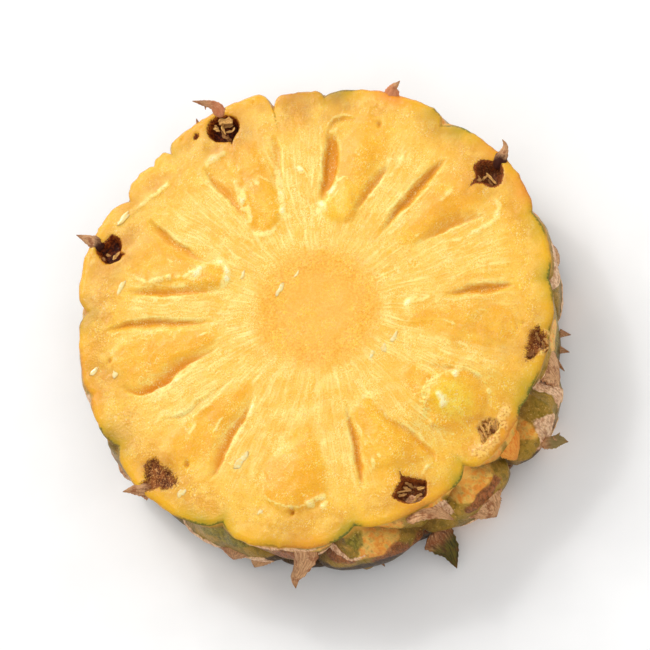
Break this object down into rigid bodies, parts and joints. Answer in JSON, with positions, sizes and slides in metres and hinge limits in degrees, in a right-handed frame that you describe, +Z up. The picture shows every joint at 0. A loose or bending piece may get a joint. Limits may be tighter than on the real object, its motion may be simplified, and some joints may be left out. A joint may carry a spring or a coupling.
{
  "type": "pineapple slice",
  "caption": "Thick round slice of fresh pineapple with its core and spiny rind left on, lying on its lower cut face.",
  "frame": {"origin": "On the lower cut face, where the axis of the core crosses it.", "axes": "+Z runs up the core's axis, out through the upper cut face. +X and +Y lie in the lower cut face, +X towards the picture's right and +Y towards its top."},
  "size_m": [0.1277, 0.1317, 0.0265],
  "materials": {
    "flesh_and_rind": "wet, juicy yellow flesh inside an olive and tan rind"
  },
  "bodies": {
    "root": {"pineapple_slice": "flesh_and_rind"}
  },
  "joints": []
}
